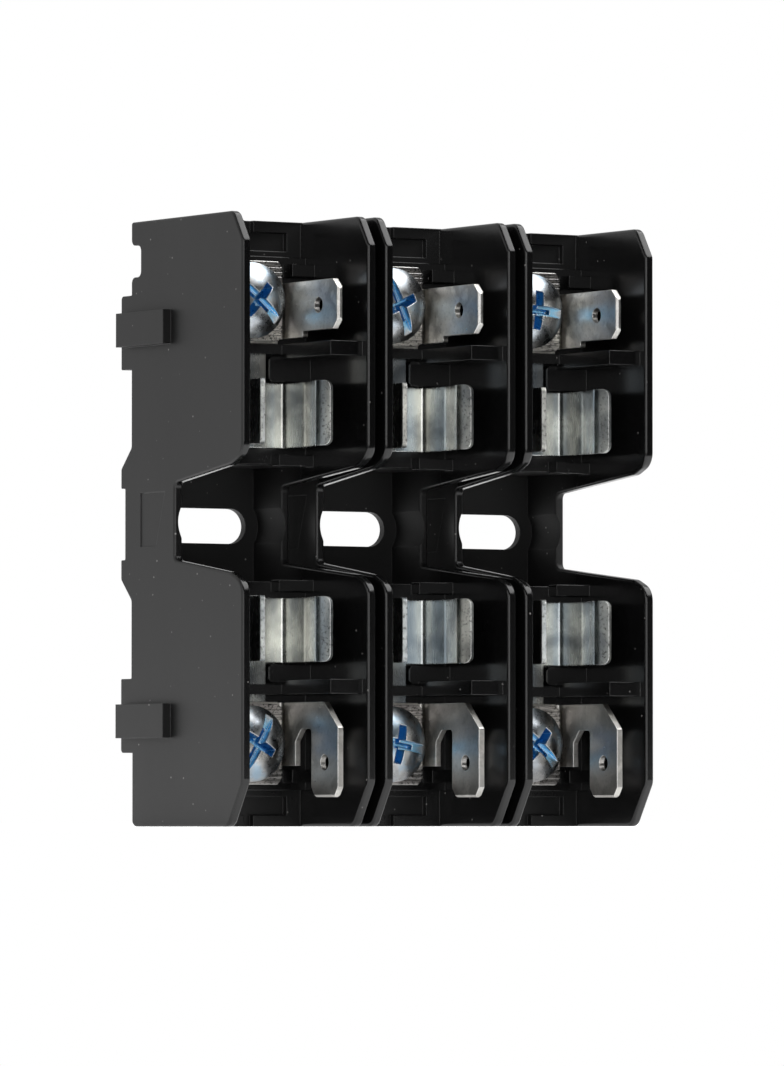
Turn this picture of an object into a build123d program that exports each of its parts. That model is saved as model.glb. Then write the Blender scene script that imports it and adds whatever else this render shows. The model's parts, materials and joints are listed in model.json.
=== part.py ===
from build123d import *
from math import cos, radians, sin
import os

# Three-pole cartridge fuse holder with spring clips, screw terminals and quick-connect tabs.
#
# Frame: +X to the right, +Z up, -Y towards the viewer. The origin is the centre of the mounting
# pattern on the back plane. Heights h are measured forwards from that plane, so a point at
# height h has y = -h. Lengths are millimetres.

os.makedirs("parts", exist_ok=True)

# ---- overall ------------------------------------------------------------------------------
PITCH = 21.3  # pole to pole
POLE_NAMES = ("left", "centre", "right")
HALF_WIDTH = 9.95  # half of one housing over its side walls
HALF_LENGTH = 38.85
FRONT_H = 30.0  # front edges of the side walls
WALL = 1.25
INNER = HALF_WIDTH - WALL
EDGE_R = 0.35  # rounding along both front edges of a wall
LEFT_WAIST_H = 13.3  # the walls are cut back beside the mounting floor
RIGHT_WAIST_H = 8.9
WAIST_Z = 4.9  # the waist's front edge ends here
SHOULDER = (27.0, 6.8)  # (h, z) corners of the sloping edge between waist and front
SHOULDER_TOP_Z = 8.1
SHOULDER_R = 2.4
UPPER_CORNER = (27.6, 35.1)  # cut corner at each end, as (h, z)
LOWER_CORNER = (26.5, 33.3)
CORNER_R = 1.5
SOFT_R = 0.8  # edges left soft by the mould
CRISP_R = 0.2
BLEND = 0.3  # overlap that joins one moulded feature to the next
FINE = 0.01

# ---- back of the housing --------------------------------------------------------------------
BACK_H = 2.6  # back edge of the walls between the feet
RECESS_H = 1.0  # back face of the mounting floor
FLOOR_H = 2.1
FOOT_IN = 4.6  # feet beside the mounting floor start here, from the middle
FOOT_OUT = 7.1
RAMP_OUT = 9.8  # end of the ramp beside those feet
OUTER_FOOT = (19.9, 29.4)  # feet under the carrier blocks
FOOT_R = 0.5
UNDERCUT = (31.7, 35.8)  # notch in the back edge near the upper end
UNDERCUT_H = 4.9

# ---- carrier blocks ---------------------------------------------------------------------------
SEAT_H = 15.0  # face that the metalwork rests on
END_H = 13.7  # lower step at each end
BLOCK_IN = 7.5  # inner face of a block, from the middle
END_STEP = 34.2
CORE_H = 12.0  # roof of the hollow behind each block
SKIN = 1.4
WINDOW_X = (-1.5, 6.6)  # shallow window in the end step
WINDOW_Z = (35.0, 37.4)
WINDOW_DEPTH = 0.8
NOTCH_X = (0.2, 1.6)  # notch from the window to the end

# ---- mounting slots ---------------------------------------------------------------------------
SLOT_LENGTH = 15.0
SLOT_WIDTH = 4.55
RELIEF_R = 4.15  # clearance for the mounting screw's head
SLOT_CENTRES = (SLOT_LENGTH - SLOT_WIDTH) / 2

# ---- fuse clips, for a 10.3 x 38.1 cartridge fuse ------------------------------------------------
CLIP_T = 0.6
CLIP_Z = 13.75  # middle of a clip, from the middle of the holder
CLIP_W = 8.3
CLIP_FOOT = 5.5  # half widths over the leaves: foot, belly, neck and lip
CLIP_BELLY = 5.75
CLIP_NECK = 4.55
CLIP_LIP = 5.4
LIP_CORNER_R = 1.0
NECK_R = 0.9
BELLY_R = 2.6
CLIP_FOOT_R = 1.1
BELLY_H = 20.6
NECK_H = 25.2
LIP_H = 26.85
LINK_X = (-2.5, 2.3)  # strip that joins a clip to its terminal
LINK_END = 33.4
LINK_ROOM = 0.8  # height of the gap under the low bar
LINK_GAP = 0.2  # clearance beside the link
PAD_RISE = 1.2
PAD_CORNER_R = 0.5

# ---- terminals ------------------------------------------------------------------------------------
TERM_X = -1.2  # terminal screw, from the pole's middle
TERM_Z = 28.3
PAD_H = SEAT_H + CLIP_T  # back face of the terminal pad
PAD_LEFT = -5.95
PAD_RIGHT = 3.6
PAD_Z = (22.9, 33.5)
TAB_X = 5.05  # outer face of the quick-connect tab
TAB_T = 0.8
TAB_W = 6.35
TAB_TIP_H = 29.9
TAB_HOLE_R = 1.0
TAB_TIP_BEVEL = 0.25
TIP_CORNER = 1.25
BEND_R = 1.3
BEND_END_H = PAD_H + BEND_R
ROOT_H = 21.4  # the straight tab's wide root ends here
STRAIGHT_ROOT_Z = (23.55, 30.7)
STRAIGHT_TAB_Z = STRAIGHT_ROOT_Z[1] - TAB_W
HOOK_ROOT_Z = (-31.1, -23.0)
HOOK_TAB_H = TAB_TIP_H - TAB_W
HOOK_END_Z = -35.1
HOOK_ARM_Z = -26.4
HOOK_CUT = (3.4, 3.3)  # cut outer corner of the arm, as (h, z)
HOOK_TIP = (0.9, 1.25)  # cut corners of the tip
HOOK_NOTCH = (2.5, 1.4, 1.6)  # width of the notch's roof, then its slope as (h, z)
HOOK_R = 0.5
TAB_HOLES = {"upper": (25.2, 27.5), "lower": (26.7, -30.7)}

# ---- clamp plates and screws ------------------------------------------------------------------------
FACE_GAP = 0.04
CLAMP_T = 0.9
CLAMP_W = 9.8
CLAMP_L = 10.2
CLAMP_H = PAD_H + TAB_T + FACE_GAP
HEAD_H = CLAMP_H + CLAMP_T + FACE_GAP
HEAD_R = 4.85
HEAD_T = 2.6
RIM_T = 0.75
RIM_BEVEL = 0.2
CROWN_R = 1.0  # flat middle of the domed head
DOME_MID = (3.0, 2.16)  # (radius, height) that the dome passes through
SCREW_R = 2.08  # number 8 thread
THREAD_PITCH = 0.794
THREAD_DEPTH = 0.3
THREAD_HALF_W = 0.33
THREAD_RELIEF = 0.16  # plain neck under the head
TIP_BEVEL = 0.5
SCREW_L = 6.4
SCREW_HOLE_R = 2.35
NUT_W = 7.0
NUT_T = 2.6
RUNNING_GAP = 0.06
NUT_BORE_R = SCREW_R + RUNNING_GAP
RIVET_R = 1.2
RIVET_HEAD_R = 2.1
RIVET_TAIL_R = 2.0
RIVET_TAIL_T = 0.7
RIVET_TAIL_BEVEL = 0.3
COUNTERSINK = 45
NUT_CORNER_R = 0.4
PLATE_CORNER = 0.6
GROOVES = 3
GROOVE_INSET = 0.6
GROOVE_PITCH = 0.6
GROOVE_W = 0.28
GROOVE_DEPTH = 0.22
DRIVE_W = 1.25
SLOT_DEPTH = 1.1
CROSS_L = 5.2
CROSS_DEPTH = 1.9
CROSS_TAPER = 15

# slot direction of each screw as it was left, in degrees from +X towards +Z
SCREW_TURNS = {
    ("left", "upper"): -40,
    ("centre", "upper"): -65,
    ("right", "upper"): -5,
    ("left", "lower"): 60,
    ("centre", "lower"): -10,
    ("right", "lower"): -40,
}

# ---- ribs: (low, high) from the middle of the holder ---------------------------------------------------
RIB_Z = {"upper": (21.0, 22.85), "lower": (20.15, 22.0)}
RIB_X = 3.9
RIB_H = 28.7
BAR_H = 17.0
BAR_T = 1.3
STOP_Z = (7.3, 8.75)
STOP_X = 3.5
STOP_H = 16.9
BOSS_Z = (31.6, 33.2)
BOSS_X = 5.3
BOSS_H = 17.2

# ---- tongues that join neighbouring housings --------------------------------------------------------------
TONGUE_T = 1.2
TONGUE_H = (0.6, 12.4)
TONGUE_W = 4.35
TONGUE_Z = (24.95, -25.35)
RAIL_T = 1.15
RAIL_W = 1.2
RAIL_GAP = 0.2

# shallow panel on the waist of each left wall, as (h, z) corners
PANEL = ((4.8, 3.9), (10.9, 3.9), (8.7, -3.0), (4.8, -3.0))
PANEL_DEPTH = 0.12


def at_height(h, x=0.0, z=0.0, turn=0.0):
    """Plane facing forwards at height h, its local x turned from +X towards +Z."""
    return Plane(
        origin=(x, -h, z),
        x_dir=(cos(radians(turn)), 0, sin(radians(turn))),
        z_dir=(0, -1, 0),
    )


def side_of(level):
    """+1 for the upper half of a pole and -1 for the lower half."""
    return 1 if level == "upper" else -1


def span(low, high):
    """Middle and length of a stretch."""
    return (low + high) / 2, abs(high - low)


def wall_outline(waist_h):
    """Side view of a wall as (h, z, corner radius), the waist's front edge at waist_h."""
    top = HALF_LENGTH
    foot_low, foot_high = OUTER_FOOT
    return (
        (BACK_H, top, 0),
        (BACK_H, UNDERCUT[1], SOFT_R),
        (UNDERCUT_H, UNDERCUT[1], SOFT_R),
        (UNDERCUT_H, UNDERCUT[0], SOFT_R),
        (BACK_H, UNDERCUT[0], SOFT_R),
        (BACK_H, foot_high, CRISP_R),
        (0, foot_high, FOOT_R),
        (0, foot_low, CRISP_R),
        (BACK_H, foot_low, CRISP_R),
        (BACK_H, RAMP_OUT, SOFT_R),
        (0, FOOT_OUT, FOOT_R),
        (0, FOOT_IN, CRISP_R),
        (RECESS_H, FOOT_IN, CRISP_R),
        (RECESS_H, -FOOT_IN, CRISP_R),
        (0, -FOOT_IN, CRISP_R),
        (0, -FOOT_OUT, FOOT_R),
        (BACK_H, -RAMP_OUT, SOFT_R),
        (BACK_H, -foot_low, CRISP_R),
        (0, -foot_low, CRISP_R),
        (0, -foot_high, FOOT_R),
        (BACK_H, -foot_high, 0),
        (BACK_H, -top, SOFT_R),
        (LOWER_CORNER[0], -top, CORNER_R),
        (FRONT_H, -LOWER_CORNER[1], CORNER_R),
        (FRONT_H, -SHOULDER_TOP_Z, SHOULDER_R),
        (SHOULDER[0], -SHOULDER[1], SHOULDER_R),
        (waist_h, -WAIST_Z, SOFT_R),
        (waist_h, WAIST_Z, SOFT_R),
        (SHOULDER[0], SHOULDER[1], SHOULDER_R),
        (FRONT_H, SHOULDER_TOP_Z, SHOULDER_R),
        (FRONT_H, UPPER_CORNER[1], SOFT_R),
        (UPPER_CORNER[0], top, CORNER_R),
    )


def make_wall(x_low, waist_h):
    """A side wall from x_low to x_low + WALL, rounded along its front edges."""
    corners = wall_outline(waist_h)
    with BuildPart() as wall:
        with BuildSketch(Plane.YZ.offset(x_low)):
            with BuildLine():
                FilletPolyline(
                    *[(-h, z) for h, z, r in corners],
                    radius=[r for h, z, r in corners],
                    close=True,
                )
            make_face()
        extrude(amount=WALL)
        outlines = wall.faces().filter_by(Axis.X).edges()
        fillet(outlines.filter_by(lambda e: e.center().Y < SOFT_R - waist_h), EDGE_R)
    return wall.part


def box_between(h_low, h_high, x_low, x_high, z_low, z_high, mode=Mode.ADD):
    """A block between two heights, added to or cut from the part that is being built."""
    x_mid, width = span(x_low, x_high)
    z_mid, length = span(z_low, z_high)
    with BuildSketch(at_height(h_low)) as profile:
        with Locations((x_mid, z_mid)):
            Rectangle(width, length)
    extrude(profile.sketch, amount=h_high - h_low, mode=mode)


def make_block(level):
    """Carrier block of one half: seat, end step, hollow back, ribs, stops and nut pocket."""
    s = side_of(level)
    edge = INNER + BLEND
    rib_low, rib_high = RIB_Z[level]
    with BuildPart() as block:
        box_between(BACK_H, END_H, -edge, edge, s * BLOCK_IN, s * HALF_LENGTH)
        box_between(END_H, SEAT_H, -edge, edge, s * BLOCK_IN, s * END_STEP)
        box_between(
            0, CORE_H, -edge, edge,
            s * (BLOCK_IN + SKIN), s * (HALF_LENGTH - SKIN), Mode.SUBTRACT,
        )
        # window and notch in the end step
        window_h = END_H - WINDOW_DEPTH
        box_between(window_h, SEAT_H, *WINDOW_X, s * WINDOW_Z[0], s * WINDOW_Z[1], Mode.SUBTRACT)
        box_between(
            window_h, SEAT_H, *NOTCH_X, s * (WINDOW_Z[1] - BLEND), s * (HALF_LENGTH + BLEND),
            Mode.SUBTRACT,
        )
        # barrier rib beside the terminal, with the low bar that crosses the pole
        box_between(SEAT_H, RIB_H, RIB_X, edge, s * rib_low, s * rib_high)
        box_between(SEAT_H, BAR_H, -edge, RIB_X, s * (rib_high - BAR_T), s * rib_high)
        box_between(
            SEAT_H, SEAT_H + LINK_ROOM, LINK_X[0] - LINK_GAP, LINK_X[1] + LINK_GAP,
            s * (rib_low - BLEND), s * (rib_high + BLEND), Mode.SUBTRACT,
        )
        # raised pad between the rib and the clip, with a rounded corner beside the link
        pad_near = CLIP_Z + CLIP_W / 2 + LINK_GAP
        pad_x, pad_width = span(LINK_X[1] + LINK_GAP, edge)
        pad_z, pad_length = span(pad_near, rib_low + BLEND)
        with BuildSketch(at_height(SEAT_H)) as pad:
            with Locations((pad_x, s * pad_z)):
                Rectangle(pad_width, pad_length)
            fillet(pad.vertices().group_by(Axis.X)[0], PAD_CORNER_R)
        extrude(amount=PAD_RISE)
        # fuse stop and terminal boss
        box_between(SEAT_H, STOP_H, STOP_X, edge, s * STOP_Z[0], s * STOP_Z[1])
        box_between(SEAT_H, STOP_H, -edge, -STOP_X, s * STOP_Z[0], s * STOP_Z[1])
        box_between(SEAT_H, BOSS_H, BOSS_X, edge, s * BOSS_Z[0], s * BOSS_Z[1])
        # pocket that holds the square nut, the screw's hole behind it and the rivet's hole
        nut_seat = at_height(SEAT_H, TERM_X, s * TERM_Z)
        with BuildSketch(nut_seat):
            Rectangle(NUT_W, NUT_W)
        extrude(amount=-NUT_T, mode=Mode.SUBTRACT)
        with BuildSketch(nut_seat):
            Circle(SCREW_HOLE_R)
        extrude(amount=-SEAT_H, mode=Mode.SUBTRACT)
        with BuildSketch(at_height(SEAT_H, 0, s * CLIP_Z)):
            Circle(RIVET_R)
        extrude(amount=-SEAT_H, mode=Mode.SUBTRACT)
    return block.part


def make_housing():
    """One pole's moulding: two walls, two carrier blocks and the slotted mounting floor."""
    left_wall = make_wall(-HALF_WIDTH, LEFT_WAIST_H)
    right_wall = make_wall(INNER, RIGHT_WAIST_H)
    blocks = [make_block(level) for level in ("upper", "lower")]
    edge = INNER + BLEND
    with BuildPart() as housing:
        add(left_wall)
        add(right_wall)
        add(blocks)
        box_between(RECESS_H, FLOOR_H, -edge, edge, -BLOCK_IN - SKIN, BLOCK_IN + SKIN)
        for s in (1, -1):
            box_between(0, FLOOR_H, -edge, edge, s * FOOT_IN, s * FOOT_OUT)
        with BuildSketch(at_height(0)):
            SlotOverall(SLOT_LENGTH, SLOT_WIDTH)
        extrude(amount=FLOOR_H, mode=Mode.SUBTRACT)
        # relief for the mounting screw's head at both ends of the slot
        with BuildSketch(at_height(FLOOR_H)):
            with Locations((-SLOT_CENTRES, 0), (SLOT_CENTRES, 0)):
                Circle(RELIEF_R)
        extrude(amount=FRONT_H, mode=Mode.SUBTRACT)
        with BuildSketch(Plane.YZ.offset(-HALF_WIDTH)):
            with BuildLine():
                Polyline(*[(-h, z) for h, z in PANEL], close=True)
            make_face()
        extrude(amount=PANEL_DEPTH, mode=Mode.SUBTRACT)
        # tongues on the left wall, and the rails on the right wall that take the next one's
        for z in TONGUE_Z:
            box_between(
                *TONGUE_H, -HALF_WIDTH - TONGUE_T, -HALF_WIDTH + BLEND,
                z - TONGUE_W / 2, z + TONGUE_W / 2,
            )
            for s in (1, -1):
                rail_in = z + s * (TONGUE_W / 2 + RAIL_GAP)
                box_between(
                    BACK_H, TONGUE_H[1], HALF_WIDTH - BLEND, HALF_WIDTH + RAIL_T,
                    rail_in, rail_in + s * RAIL_W,
                )
    return housing.part


def make_clip(level):
    """Spring clip with two bowed leaves, and the link strip that runs under the terminal."""
    s = side_of(level)
    half = CLIP_W / 2
    with BuildPart() as clip:
        with BuildSketch(Plane.XY.offset(s * CLIP_Z - half)):
            with BuildLine():
                FilletPolyline(
                    (-CLIP_LIP, -LIP_H),
                    (-CLIP_NECK, -NECK_H),
                    (-CLIP_BELLY, -BELLY_H),
                    (-CLIP_FOOT, -SEAT_H),
                    (CLIP_FOOT, -SEAT_H),
                    (CLIP_BELLY, -BELLY_H),
                    (CLIP_NECK, -NECK_H),
                    (CLIP_LIP, -LIP_H),
                    radius=[NECK_R, BELLY_R, CLIP_FOOT_R, CLIP_FOOT_R, BELLY_R, NECK_R],
                )
                offset(amount=CLIP_T, side=Side.RIGHT)
            make_face()
        extrude(amount=CLIP_W)
        lip_corners = clip.edges().filter_by(
            lambda e: e.center().Y < -(NECK_H + LIP_H) / 2 and e.length < CLIP_T + FINE
        )
        fillet(lip_corners, LIP_CORNER_R)
        box_between(
            SEAT_H, SEAT_H + CLIP_T, LINK_X[0], LINK_X[1],
            s * (CLIP_Z + half - BLEND), s * LINK_END,
        )
        with BuildSketch(at_height(SEAT_H, TERM_X, s * TERM_Z)):
            Circle(SCREW_HOLE_R)
        extrude(amount=CLIP_T, mode=Mode.SUBTRACT)
        with BuildSketch(at_height(SEAT_H + CLIP_T, 0, s * CLIP_Z)):
            Circle(RIVET_HEAD_R)
        extrude(amount=-CLIP_T, taper=COUNTERSINK, mode=Mode.SUBTRACT)
        with BuildSketch(at_height(SEAT_H, 0, s * CLIP_Z)):
            Circle(RIVET_R)
        extrude(amount=CLIP_T, mode=Mode.SUBTRACT)
    return clip.part


def hook_outline():
    """Side view of the turned-down tab as (h, z, corner radius): arm, tab, notch and short leg."""
    root_low, root_high = HOOK_ROOT_Z
    roof, slope_h, slope_z = HOOK_NOTCH
    tip_h, tip_z = HOOK_TIP
    leg_h = HOOK_TAB_H - roof - slope_h
    return (
        (BEND_END_H, root_high, 0),
        (TAB_TIP_H - HOOK_CUT[0], root_high, HOOK_R),
        (TAB_TIP_H, root_high - HOOK_CUT[1], HOOK_R),
        (TAB_TIP_H, HOOK_END_Z + tip_z, 0),
        (TAB_TIP_H - tip_h, HOOK_END_Z, 0),
        (HOOK_TAB_H + tip_h, HOOK_END_Z, 0),
        (HOOK_TAB_H, HOOK_END_Z + tip_z, 0),
        (HOOK_TAB_H, HOOK_ARM_Z, HOOK_R),
        (HOOK_TAB_H - roof, HOOK_ARM_Z, HOOK_R),
        (leg_h, HOOK_ARM_Z - slope_z, HOOK_R),
        (leg_h, root_low, 0),
        (BEND_END_H, root_low, 0),
    )


def straight_outline():
    """Side view of the straight tab as (h, z, corner radius): wide root, then the tab."""
    root_low, root_high = STRAIGHT_ROOT_Z
    return (
        (BEND_END_H, root_low, 0),
        (ROOT_H, root_low, CRISP_R),
        (ROOT_H, STRAIGHT_TAB_Z, CRISP_R),
        (TAB_TIP_H - TIP_CORNER, STRAIGHT_TAB_Z, 0),
        (TAB_TIP_H, STRAIGHT_TAB_Z + TIP_CORNER, 0),
        (TAB_TIP_H, root_high - TIP_CORNER, 0),
        (TAB_TIP_H - TIP_CORNER, root_high, 0),
        (BEND_END_H, root_high, 0),
    )


def make_terminal(level):
    """Terminal: a pad under the clamp plate, bent forwards into a 6.35 mm quick-connect tab."""
    s = side_of(level)
    straight = level == "upper"
    root_low, root_high = STRAIGHT_ROOT_Z if straight else HOOK_ROOT_Z
    hole_h, hole_z = TAB_HOLES[level]
    with BuildPart() as terminal:
        with BuildSketch(Plane.XY.offset(root_low)):
            with BuildLine():
                FilletPolyline(
                    (PAD_LEFT, -PAD_H),
                    (TAB_X, -PAD_H),
                    (TAB_X, -BEND_END_H),
                    radius=BEND_R - FINE,
                )
                offset(amount=TAB_T, side=Side.RIGHT)
            make_face()
        extrude(amount=root_high - root_low)
        box_between(
            PAD_H, PAD_H + TAB_T, PAD_LEFT, PAD_RIGHT, s * PAD_Z[0], s * PAD_Z[1],
        )
        outline = straight_outline() if straight else hook_outline()
        with BuildSketch(Plane.YZ.offset(TAB_X - TAB_T)):
            with BuildLine():
                FilletPolyline(
                    *[(-h, z) for h, z, r in outline],
                    radius=[r for h, z, r in outline],
                    close=True,
                )
            make_face()
        extrude(amount=TAB_T)
        if straight:
            tip_edges = terminal.edges().filter_by(Axis.Z).group_by(Axis.Y)[0]
        else:
            tip_edges = terminal.edges().filter_by(Axis.Y).group_by(Axis.Z)[0]
        chamfer(tip_edges, TAB_TIP_BEVEL)
        with BuildSketch(Plane.YZ.offset(TAB_X)):
            with Locations((-hole_h, hole_z)):
                Circle(TAB_HOLE_R)
        extrude(amount=-TAB_T, mode=Mode.SUBTRACT)
        with BuildSketch(at_height(PAD_H, TERM_X, s * TERM_Z)):
            Circle(SCREW_HOLE_R)
        extrude(amount=TAB_T, mode=Mode.SUBTRACT)
    return terminal.part


def make_clamp_plate(level):
    """Square pressure plate with cut corners, a screw hole and gripping grooves at both ends."""
    face = at_height(CLAMP_H + CLAMP_T, TERM_X, side_of(level) * TERM_Z)
    with BuildPart() as plate:
        with BuildSketch(face):
            Rectangle(CLAMP_W, CLAMP_L)
            Circle(SCREW_HOLE_R, mode=Mode.SUBTRACT)
        extrude(amount=-CLAMP_T)
        chamfer(plate.edges().filter_by(Axis.Y).filter_by(GeomType.LINE), PLATE_CORNER)
        groove_z = [CLAMP_L / 2 - GROOVE_INSET - i * GROOVE_PITCH for i in range(GROOVES)]
        with BuildSketch(face):
            with Locations([(0, side * z) for z in groove_z for side in (1, -1)]):
                Rectangle(CLAMP_W, GROOVE_W)
        extrude(amount=-GROOVE_DEPTH, mode=Mode.SUBTRACT)
    return plate.part


def make_screw(level, turn):
    """Binding-head terminal screw with a slot across the head and a cross recess."""
    x, z = TERM_X, side_of(level) * TERM_Z
    base = at_height(HEAD_H, x, z, turn)
    top = at_height(HEAD_H + HEAD_T, x, z, turn)
    half_plane = Plane(base.origin, x_dir=base.x_dir, z_dir=base.z_dir.cross(base.x_dir) * -1)
    thread_turns = int(SCREW_L / THREAD_PITCH) - 1
    with BuildPart() as screw:
        with BuildSketch(half_plane):
            with BuildLine():
                Polyline(
                    (0, HEAD_T),
                    (0, -SCREW_L),
                    (SCREW_R - TIP_BEVEL, -SCREW_L),
                    (SCREW_R, TIP_BEVEL - SCREW_L),
                    (SCREW_R, 0),
                    (HEAD_R - RIM_BEVEL, 0),
                    (HEAD_R, RIM_BEVEL),
                    (HEAD_R, RIM_T),
                )
                ThreePointArc((HEAD_R, RIM_T), DOME_MID, (CROWN_R, HEAD_T))
                Line((CROWN_R, HEAD_T), (0, HEAD_T))
            make_face()
        revolve(axis=Axis(base.origin, (0, -1, 0)))
        with BuildSketch(half_plane):
            depths = [(i + 1) * THREAD_PITCH + THREAD_RELIEF for i in range(thread_turns)]
            with Locations([(SCREW_R, -depth) for depth in depths]):
                Polygon(
                    (FINE, THREAD_HALF_W), (FINE, -THREAD_HALF_W), (-THREAD_DEPTH, 0), align=None,
                )
        revolve(axis=Axis(base.origin, (0, -1, 0)), mode=Mode.SUBTRACT)
        with BuildSketch(top):
            Rectangle(3 * HEAD_R, DRIVE_W)
        extrude(amount=-SLOT_DEPTH, mode=Mode.SUBTRACT)
        with BuildSketch(top):
            Rectangle(CROSS_L, DRIVE_W)
            Rectangle(DRIVE_W, CROSS_L)
        extrude(amount=-CROSS_DEPTH, taper=CROSS_TAPER, mode=Mode.SUBTRACT)
    return screw.part


def make_nut(level):
    """Square nut that sits in the pocket behind the terminal."""
    with BuildPart() as nut:
        with BuildSketch(at_height(SEAT_H, TERM_X, side_of(level) * TERM_Z)):
            RectangleRounded(NUT_W, NUT_W, NUT_CORNER_R)
            Circle(NUT_BORE_R, mode=Mode.SUBTRACT)
        extrude(amount=-NUT_T)
    return nut.part


def make_rivet(level):
    """Rivet with a flush head in the clip and a spread tail behind the seat."""
    z = side_of(level) * CLIP_Z
    with BuildPart() as rivet:
        with BuildSketch(Plane((0, -SEAT_H, z), x_dir=(1, 0, 0), z_dir=(0, 0, -1))):
            with BuildLine():
                Polyline(
                    (0, CLIP_T),
                    (RIVET_HEAD_R, CLIP_T),
                    (RIVET_HEAD_R - CLIP_T, 0),
                    (RIVET_R, 0),
                    (RIVET_R, CORE_H - SEAT_H),
                    (RIVET_TAIL_R, CORE_H - SEAT_H),
                    (RIVET_TAIL_R - RIVET_TAIL_BEVEL, CORE_H - SEAT_H - RIVET_TAIL_T),
                    (0, CORE_H - SEAT_H - RIVET_TAIL_T),
                    close=True,
                )
            make_face()
        revolve(axis=Axis((0, 0, z), (0, -1, 0)))
    return rivet.part


def save(piece, name, x):
    """Place a piece in its pole and write it under its name."""
    placed = piece.moved(Location((x, 0, 0)))
    placed.label = name
    export_step(placed, f"parts/{name}.step")


def main():
    """Make every piece once, and place it in each of the three poles."""
    housing = make_housing()
    for pole, index in zip(POLE_NAMES, (-1, 0, 1)):
        save(housing, f"housing_{pole}", index * PITCH)
    makers = {
        "fuse_clip": make_clip,
        "terminal": make_terminal,
        "clamp_plate": make_clamp_plate,
        "nut": make_nut,
        "rivet": make_rivet,
    }
    for level in ("upper", "lower"):
        pieces = {kind: make(level) for kind, make in makers.items()}
        for pole, index in zip(POLE_NAMES, (-1, 0, 1)):
            for kind, piece in pieces.items():
                save(piece, f"{kind}_{pole}_{level}", index * PITCH)
            screw = make_screw(level, SCREW_TURNS[pole, level])
            save(screw, f"screw_{pole}_{level}", index * PITCH)


if __name__ == "__main__":
    main()
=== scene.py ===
import json
import math

import bpy
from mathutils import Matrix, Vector


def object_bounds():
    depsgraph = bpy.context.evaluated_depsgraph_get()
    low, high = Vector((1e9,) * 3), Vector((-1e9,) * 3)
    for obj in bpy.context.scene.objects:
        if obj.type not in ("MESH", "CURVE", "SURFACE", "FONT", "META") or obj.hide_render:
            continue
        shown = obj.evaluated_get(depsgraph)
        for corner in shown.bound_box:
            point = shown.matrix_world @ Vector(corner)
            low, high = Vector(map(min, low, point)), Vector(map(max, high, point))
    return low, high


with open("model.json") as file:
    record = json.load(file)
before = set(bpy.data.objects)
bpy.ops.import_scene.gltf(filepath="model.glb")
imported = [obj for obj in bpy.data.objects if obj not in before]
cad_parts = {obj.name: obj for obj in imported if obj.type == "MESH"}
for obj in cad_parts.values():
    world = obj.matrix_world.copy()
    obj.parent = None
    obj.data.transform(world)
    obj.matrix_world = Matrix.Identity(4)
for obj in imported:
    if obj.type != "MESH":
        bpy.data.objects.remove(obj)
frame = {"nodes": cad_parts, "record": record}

# Looks of the three-pole cartridge fuse holder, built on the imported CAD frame. Metres.
cad_low, cad_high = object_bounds()
scene = bpy.context.scene

MM = 0.001

# ---- camera ---------------------------------------------------------------------------------
IMAGE_HEIGHT = 1066
SENSOR = 36.0
FOCAL_PX = 8203.5
CAMERA_AT = Vector((-0.5675, -0.9104, -0.0372))
LOOK_YAW = -32.39  # degrees
AIM_TILT = 1.959  # degrees above the horizon
FAR_CLIP = 20.0

# ---- stage ----------------------------------------------------------------------------------
FLOOR = (-0.20, 0.26, -0.16, 0.24)  # left, right, front and back edges
PAPER = (0.93, 0.93, 0.93)
PAPER_SHADE = 0.985  # the grain's darker tone, as a share of the paper's
FLOOR_GLOW = 0.62
BACKDROP = 1.0  # what the camera sees behind the holder
# brightness of the room by direction, from dark in front to pale behind
ROOM_RAMP = {"From Min": -0.15, "From Max": 0.25, "To Min": 0.012, "To Max": 0.72}
SOFT_LIGHTS = (  # name, place, (width, height), watts
    ("left_soft", (-0.75, -0.30, 0.25), (0.40, 0.60), 1.3),
    ("front_soft", (-0.38, -0.83, 0.12), (0.60, 0.50), 2.2),
    ("top_soft", (0.28, -0.19, 0.52), (0.60, 0.60), 4.0),
)

# ---- black plastic --------------------------------------------------------------------------
OUTER_SIDE = 31.1 * MM  # the two outer faces of the holder lie past this, from the middle
OUTER_BLEND = 0.1 * MM
NICK_AND_GLINT_HEIGHTS = (17 * MM, 18 * MM)  # nicks and painted edge glints fade in over these heights
WELL_HEIGHTS = (9 * MM, 15 * MM)  # the plastic turns glossy over these heights
PLASTIC_BLACKS = ((0.0026, 0.0026, 0.0028), (0.0046, 0.0045, 0.0046))
PLASTIC_ROUGH = (0.13, 0.21)
PLASTIC_EDGE = 0.16 * MM
SCUFF_BAND = (0.665, 0.70)
SCUFF_GREY = (0.05, 0.05, 0.05)
SCUFF_TINT = 0.35
SCUFF_ROUGH = 0.15
DUST_DOT = (0.10, 0.05)
DUST_PATCHES = (0.52, 0.58)
DUST_GREY = (0.30, 0.29, 0.28)
DUST_TINT = 0.7
DUST_RISE = 0.9
NICK_AND_GLINT_BAND = (0.56, 0.64)
NICK_AND_GLINT_GREY = (0.20, 0.20, 0.20)
NICK_AND_GLINT_SHARE = 0.3
GRAIN_ROUGH = 0.05
GRAIN_RISE = 0.2
SIDE_ROUGH = 0.22  # extra roughness of the outer sides
WELL_ROUGH = 0.40  # extra roughness low down in the wells

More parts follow.
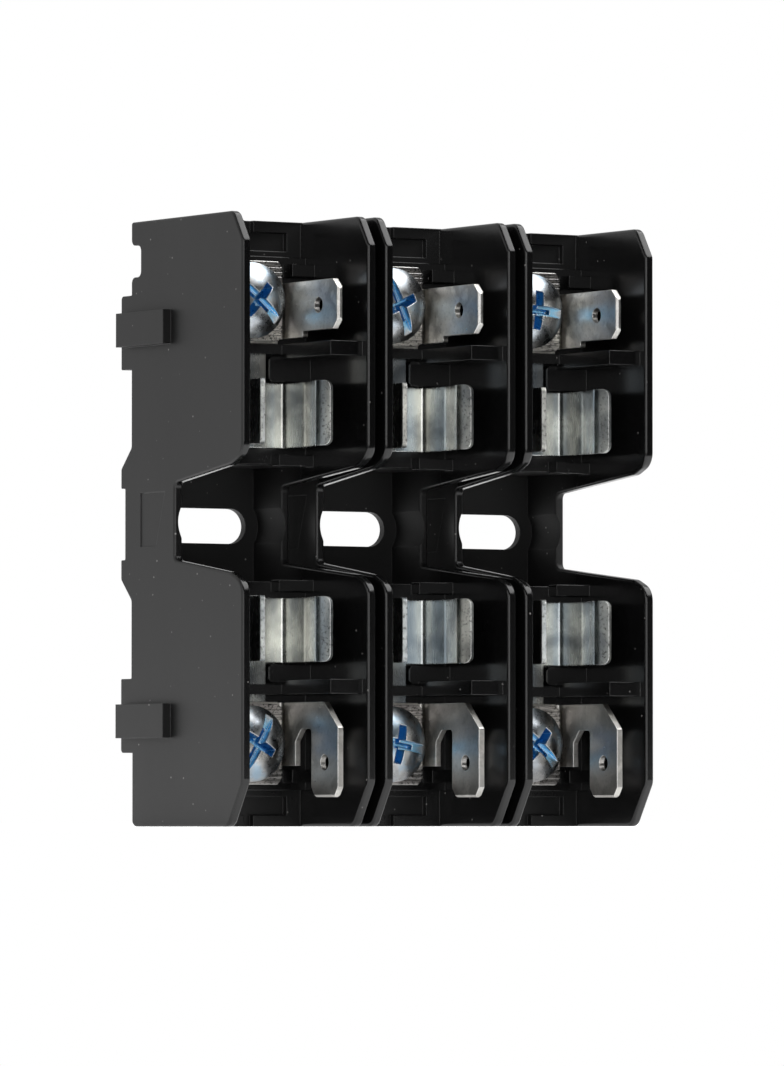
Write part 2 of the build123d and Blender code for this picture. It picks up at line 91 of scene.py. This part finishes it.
# ---- plated metal ---------------------------------------------------------------------------
METAL_EDGE = 0.17 * MM
STRETCHES = {"z": (1, 1, 0.04), "x": (0.04, 1, 1), "none": (1, 1, 1)}
CLOUD_BAND = (0.38, 0.62)
CLOUD_DULL_BAND = (0.4, 0.65)
CLOUD_ROUGH = 0.06
TINT_BAND = (0.4, 0.7)
TINT_SHARE = 0.6
PIT_BAND = (0.52, 0.68)
PIT_DEPTH = 0.75
PIT_SHADE = 0.22
SAND_BLEND = 0.4 * MM
SAND_RISE = 3.2
RECESS_REACH = 1.3 * MM
RECESS_BAND = (0.90, 0.70)
STAIN_BAND = (0.40, 0.52)
STAIN_CLOUDS = (0.5, 0.6)
STAIN_SHARE = 0.35
LOW_DARKEN_SHARE = 0.55
LOW_DARKEN_FACTOR = 0.4
WORN_AND_HIGHLIT_EDGE = (0.92, 0.92, 0.9)
FLECK_BAND = (0.68, 0.74)
FLECK_GREY = (0.16, 0.15, 0.14)
FLECK_SHARE = 0.3

METALS = {
    "tin_plated_clip": {
        "dark": (0.27, 0.27, 0.255), "light": (0.64, 0.64, 0.59), "tint": (0.35, 0.44, 0.53),
        "rough": (0.18, 0.28), "streak": 0.04, "streak_axis": "z", "ripple": 1.1,
        "sand": 1.1, "sand_from": 25.6 * MM, "frost": 0.22, "edge_wear_and_highlight": 0.9,
    },
    "tin_plated_terminal": {
        "dark": (0.66, 0.64, 0.60), "light": (0.96, 0.94, 0.88), "tint": (0.80, 0.81, 0.81),
        "rough": (0.26, 0.40), "streak": 0.3, "streak_axis": "x", "ripple": 2.4,
        "sand": 0.30, "recess_tint_and_shade": (0.035, 0.032, 0.028), "edge_wear_and_highlight": 0.6, "darken_below": -10 * MM,
    },
    "zinc_plate": {
        "dark": (0.22, 0.21, 0.205), "light": (0.52, 0.51, 0.48), "tint": (0.32, 0.29, 0.30),
        "rough": (0.24, 0.36), "streak": 0.4, "streak_axis": "x", "ripple": 1.0, "sand": 1.8,
    },
    "blue_zinc_screw": {
        "dark": (0.30, 0.30, 0.30), "light": (0.66, 0.66, 0.65), "tint": (0.42, 0.50, 0.58),
        "rough": (0.22, 0.34), "streak": 0.15, "ripple": 1.6,
        "sand": 0.15, "recess_tint_and_shade": (0.22, 0.52, 0.78), "edge_wear_and_highlight": 0.9,
    },
    "zinc_nut": {
        "dark": (0.42, 0.42, 0.42), "light": (0.60, 0.60, 0.60), "tint": (0.50, 0.52, 0.55),
        "rough": (0.30, 0.50), "streak": 0.5, "sand": 0.5,
    },
    "zinc_rivet": {
        "dark": (0.45, 0.45, 0.44), "light": (0.66, 0.66, 0.65), "tint": (0.55, 0.56, 0.58),
        "rough": (0.25, 0.42), "streak": 0.4, "sand": 0.3,
    },
}


# ---- node helpers ---------------------------------------------------------------------------
class Shader:
    """A material's node tree, with short calls that add and join nodes."""

    COLOUR_IN = (6, 7)  # the Mix node's colour sockets
    COLOUR_OUT = 2
    EDGE_DOT = (1.0, 0.85)  # agreement of true and rounded normal, from flat to edge

    def __init__(self, name):
        self.material = bpy.data.materials.new(name)
        self.material.use_nodes = True
        self.nodes = self.material.node_tree.nodes
        self.links = self.material.node_tree.links
        self.surface = self.nodes["Principled BSDF"]
        self.place = self.add("ShaderNodeTexCoord").outputs["Object"]

    def add(self, kind, **values):
        node = self.nodes.new(kind)
        for key, value in values.items():
            setattr(node, key, value)
        return node

    def join(self, source, target):
        self.links.new(source, target)

    def set(self, **sockets):
        for key, value in sockets.items():
            self.surface.inputs[key.replace("_", " ")].default_value = value

    def scaled(self, stretch):
        node = self.add("ShaderNodeMapping")
        node.inputs["Scale"].default_value = stretch
        self.join(self.place, node.inputs["Vector"])
        return node.outputs["Vector"]

    def noise(self, scale, detail=3.0, roughness=0.55, stretch=(1, 1, 1), distortion=0.0):
        node = self.add("ShaderNodeTexNoise")
        node.inputs["Scale"].default_value = scale
        node.inputs["Detail"].default_value = detail
        node.inputs["Roughness"].default_value = roughness
        node.inputs["Distortion"].default_value = distortion
        self.join(self.scaled(stretch), node.inputs["Vector"])
        return node.outputs["Fac"]

    def dots(self, scale):
        """Distance to the nearest of many scattered points."""
        node = self.add("ShaderNodeTexVoronoi")
        node.inputs["Scale"].default_value = scale
        self.join(self.place, node.inputs["Vector"])
        return node.outputs["Distance"]

    def remap(self, source, band, to=(0.0, 1.0)):
        node = self.add("ShaderNodeMapRange")
        for key, value in zip(("From Min", "From Max", "To Min", "To Max"), (*band, *to)):
            node.inputs[key].default_value = value
        self.join(source, node.inputs["Value"])
        return node.outputs["Result"]

    def math(self, operation, *terms):
        node = self.add("ShaderNodeMath", operation=operation)
        for socket, value in zip(node.inputs, terms):
            if isinstance(value, (int, float)):
                socket.default_value = value
            else:
                self.join(value, socket)
        return node.outputs["Value"]

    def times(self, a, b):
        return self.math("MULTIPLY", a, b)

    def plus(self, a, b):
        return self.math("ADD", a, b)

    def mix(self, factor, a, b):
        node = self.add("ShaderNodeMix", data_type="RGBA")
        self.join(factor, node.inputs["Factor"])
        for index, value in zip(self.COLOUR_IN, (a, b)):
            if isinstance(value, tuple):
                node.inputs[index].default_value = (*value, 1.0)
            else:
                self.join(value, node.inputs[index])
        return node.outputs[self.COLOUR_OUT]

    def edges(self, radius):
        """1 on sharp edges and 0 on flats, and the normal with its edges rounded."""
        bevel = self.add("ShaderNodeBevel", samples=6)
        bevel.inputs["Radius"].default_value = radius
        geometry = self.add("ShaderNodeNewGeometry")
        dot = self.add("ShaderNodeVectorMath", operation="DOT_PRODUCT")
        self.join(bevel.outputs["Normal"], dot.inputs[0])
        self.join(geometry.outputs["Normal"], dot.inputs[1])
        return self.remap(dot.outputs["Value"], self.EDGE_DOT), bevel.outputs["Normal"]

    def occlusion(self, reach):
        """1 in the open, lower in slots and recesses of the same piece."""
        node = self.add("ShaderNodeAmbientOcclusion", samples=8, only_local=True)
        node.inputs["Distance"].default_value = reach
        return node.outputs["AO"]

    def along(self, axis):
        """Distance from the origin along one axis of the frame."""
        split = self.add("ShaderNodeSeparateXYZ")
        self.join(self.place, split.inputs["Vector"])
        return split.outputs[axis]

    def forward(self):
        """Height in front of the back plane."""
        return self.times(self.along("Y"), -1.0)

    def bump(self, height, strength, distance, normal):
        node = self.add("ShaderNodeBump")
        node.inputs["Strength"].default_value = strength
        node.inputs["Distance"].default_value = distance
        self.join(height, node.inputs["Height"])
        self.join(normal, node.inputs["Normal"])
        return node.outputs["Normal"]

    def finish(self, colour, roughness, normal):
        self.join(colour, self.surface.inputs["Base Color"])
        self.join(roughness, self.surface.inputs["Roughness"])
        self.join(normal, self.surface.inputs["Normal"])
        return self.material


# ---- materials ------------------------------------------------------------------------------
def black_moulding():
    """Black moulded plastic with fine grain, faint flow marks, dust specks and light scuffs.

    It is glossy inside, matt on the two outer sides and dull low down in the wells.
    """
    s = Shader("black_moulding")
    edge, rounded = s.edges(PLASTIC_EDGE)
    flow = s.noise(scale=60, detail=4, stretch=(1, 1, 0.35))
    grain = s.noise(scale=4200, detail=2)
    orange_peel = s.noise(scale=420, detail=2)
    scuffs = s.noise(scale=300, detail=6, roughness=0.75, stretch=(1, 0.06, 0.6))
    scuffs = s.remap(scuffs, SCUFF_BAND)
    dust = s.remap(s.dots(scale=640), DUST_DOT)
    dust = s.times(dust, s.remap(s.noise(scale=700, detail=1), DUST_PATCHES))
    outer = s.math("ABSOLUTE", s.along("X"))
    outer = s.remap(outer, (OUTER_SIDE - OUTER_BLEND, OUTER_SIDE))
    nicks_and_glints = s.remap(s.noise(scale=1500, detail=3, roughness=0.7), NICK_AND_GLINT_BAND)
    nicks_and_glints = s.times(nicks_and_glints, s.remap(s.forward(), NICK_AND_GLINT_HEIGHTS))
    base = s.mix(flow, *PLASTIC_BLACKS)
    base = s.mix(s.times(scuffs, SCUFF_TINT), base, SCUFF_GREY)
    base = s.mix(s.times(dust, DUST_TINT), base, DUST_GREY)
    # Painted glints: lighter speckles along the front edges, partly real nicks in the plastic
    # and partly painted glints
    base = s.mix(s.times(s.times(edge, nicks_and_glints), NICK_AND_GLINT_SHARE), base, NICK_AND_GLINT_GREY)
    rough = s.remap(flow, (0.3, 0.7), PLASTIC_ROUGH)
    rough = s.plus(rough, s.times(scuffs, SCUFF_ROUGH))
    rough = s.plus(rough, s.times(grain, GRAIN_ROUGH))
    rough = s.plus(rough, s.times(outer, SIDE_ROUGH))
    well = s.remap(s.forward(), WELL_HEIGHTS, (WELL_ROUGH, 0.0))
    rough = s.plus(rough, s.times(well, s.math("SUBTRACT", 1.0, outer)))
    height = s.plus(s.times(grain, GRAIN_RISE), orange_peel)
    height = s.plus(height, s.times(dust, DUST_RISE))
    s.set(IOR=1.5)
    return s.finish(base, rough, s.bump(height, 0.25, 0.02 * MM, rounded))


def plated(
    name, dark, light, tint, rough, streak, streak_axis="none", ripple=0.3, sand=0.0,
    sand_from=None, frost=0.0, recess_tint_and_shade=None, edge_wear_and_highlight=0.35, darken_below=None,
):
    """Plated metal: cloudy tint, rolling streaks, ripples, sandy pitting and edges painted
    bright, partly wear and partly a painted edge highlight.

    Sand covers the whole piece, or only what stands further forward than sand_from, and frost
    is how much rougher it is there.
    The recess colour is painted into slots and recesses by an occlusion mask: painted shade on
    the terminals, a blue tint on the screws.
    Below the darkening height the base colour is darker towards the bottom, as on the lower
    terminals.
    """
    s = Shader(name)
    stretch = STRETCHES[streak_axis]
    edge, rounded = s.edges(METAL_EDGE)
    lines = s.noise(scale=1500, detail=4, roughness=0.65, stretch=stretch)
    broad = s.noise(scale=260, detail=3, stretch=stretch)
    cloud = s.noise(scale=190, detail=3, distortion=0.5)
    grit = s.noise(scale=4200, detail=3, roughness=0.7)
    pits = s.remap(s.noise(scale=2500, detail=3, roughness=0.7), PIT_BAND)
    colour = s.mix(s.remap(cloud, CLOUD_BAND), dark, light)
    colour = s.mix(s.times(s.remap(broad, TINT_BAND), TINT_SHARE), colour, tint)
    # Painted shade and tint in recesses: an occlusion mask paints slots nearly black on the
    # terminals (painted shade) and blue on the screws (tint)
    if recess_tint_and_shade is not None:
        recess_tint_and_shade_mask = s.remap(s.occlusion(RECESS_REACH), RECESS_BAND)
        stain = s.times(s.remap(s.noise(scale=520, detail=3), STAIN_BAND), STAIN_SHARE)
        stain = s.times(stain, s.remap(cloud, STAIN_CLOUDS))
        colour = s.mix(s.math("MAXIMUM", recess_tint_and_shade_mask, stain), colour, recess_tint_and_shade)
    # Darker towards the bottom: below the given height the base colour is blended towards a
    # darker copy of the dark tone
    if darken_below is not None:
        low_darken = s.remap(s.along("Z"), (darken_below, -darken_below), (LOW_DARKEN_SHARE, 0.0))
        colour = s.mix(low_darken, colour, tuple(c * LOW_DARKEN_FACTOR for c in dark))
    # Painted edge highlight: edges are painted near white, partly worn plating and partly a
    # painted highlight on the rounded edges
    colour = s.mix(s.times(edge, edge_wear_and_highlight), colour, WORN_AND_HIGHLIT_EDGE)
    amount = sand
    if sand_from is not None:
        amount = s.times(s.remap(s.forward(), (sand_from, sand_from + SAND_BLEND)), sand)
    speck = s.times(pits, s.times(amount, PIT_DEPTH))
    colour = s.mix(speck, colour, tuple(c * PIT_SHADE for c in dark))
    flecks = s.remap(s.noise(scale=900, detail=3), FLECK_BAND)
    colour = s.mix(s.times(flecks, FLECK_SHARE), colour, FLECK_GREY)
    roughness = s.remap(lines, (0.3, 0.7), rough)
    roughness = s.plus(roughness, s.times(s.remap(cloud, CLOUD_DULL_BAND), CLOUD_ROUGH))
    roughness = s.plus(roughness, s.times(amount, frost))
    height = s.plus(s.times(lines, streak), s.times(cloud, ripple))
    height = s.plus(height, s.times(grit, s.times(amount, SAND_RISE)))
    s.set(Metallic=1.0)
    return s.finish(colour, roughness, s.bump(height, 0.35, 0.014 * MM, rounded))


def dress_nodes():
    """Give every CAD node the finish of its slot."""
    finishes = {name: plated(name, **values) for name, values in METALS.items()}
    finishes["black_moulding"] = black_moulding()
    for row in frame["record"]["subparts"]:
        node = frame["nodes"][row["node"]]
        for slot in node.material_slots:
            slot.material = finishes[row["material_slot"]]


# ---- stage -----------------------------------------------------------------------------------
def paper():
    """Matt studio paper with a faint grain."""
    s = Shader("studio_paper")
    grain = s.mix(s.noise(scale=300, detail=3), tuple(c * PAPER_SHADE for c in PAPER), PAPER)
    s.join(grain, s.surface.inputs["Base Color"])
    s.set(Roughness=1.0, Specular_IOR_Level=0.0, Emission_Strength=FLOOR_GLOW)
    s.set(Emission_Color=(*PAPER, 1.0))
    return s.material


def make_floor():
    """Pale floor under the holder's lower end, reaching back to the white backdrop."""
    left, right, front, back = FLOOR
    z = cad_low[2]
    corners = [(left, front, z), (right, front, z), (right, back, z), (left, back, z)]
    mesh = bpy.data.meshes.new("floor")
    mesh.from_pydata(corners, [], [(0, 1, 2, 3)])
    floor = bpy.data.objects.new("floor", mesh)
    scene.collection.objects.link(floor)
    mesh.materials.append(paper())


def area_light(name, at, target, size, power):
    """Soft rectangular light at a place, facing a target."""
    data = bpy.data.lights.new(name, "AREA")
    data.shape = "RECTANGLE"
    data.size, data.size_y = size
    data.energy = power
    lamp = bpy.data.objects.new(name, data)
    lamp.location = at
    lamp.rotation_euler = (Vector(target) - Vector(at)).to_track_quat("-Z", "Y").to_euler()
    scene.collection.objects.link(lamp)


def make_lights():
    """Pale room behind, dark room in front, a white backdrop, and the soft lights."""
    world = bpy.data.worlds.new("studio")
    scene.world = world
    world.use_nodes = True
    nodes, links = world.node_tree.nodes, world.node_tree.links
    place = nodes.new("ShaderNodeTexCoord")
    split = nodes.new("ShaderNodeSeparateXYZ")
    links.new(place.outputs["Generated"], split.inputs["Vector"])
    ramp = nodes.new("ShaderNodeMapRange")
    for key, value in ROOM_RAMP.items():
        ramp.inputs[key].default_value = value
    links.new(split.outputs["Y"], ramp.inputs["Value"])
    seen = nodes.new("ShaderNodeLightPath")
    backdrop = nodes.new("ShaderNodeMix")
    room_in, backdrop_in = backdrop.inputs[2], backdrop.inputs[3]
    links.new(seen.outputs["Is Camera Ray"], backdrop.inputs["Factor"])
    links.new(ramp.outputs["Result"], room_in)
    backdrop_in.default_value = BACKDROP
    links.new(backdrop.outputs[0], nodes["Background"].inputs["Color"])
    centre = (cad_low + cad_high) / 2
    for name, at, size, power in SOFT_LIGHTS:
        area_light(name, at, centre, size, power)


def make_camera():
    """Long lens a little above the floor, to the left of the holder's front."""
    data = bpy.data.cameras.new("camera")
    data.sensor_width = SENSOR
    data.lens = FOCAL_PX / IMAGE_HEIGHT * SENSOR
    data.clip_end = FAR_CLIP
    data.dof.use_dof = False
    camera = bpy.data.objects.new("camera", data)
    camera.location = CAMERA_AT
    camera.rotation_euler = (math.radians(90 + AIM_TILT), 0, math.radians(LOOK_YAW))
    scene.collection.objects.link(camera)
    scene.camera = camera


dress_nodes()
make_floor()
make_lights()
make_camera()
scene.view_settings.view_transform = "Standard"
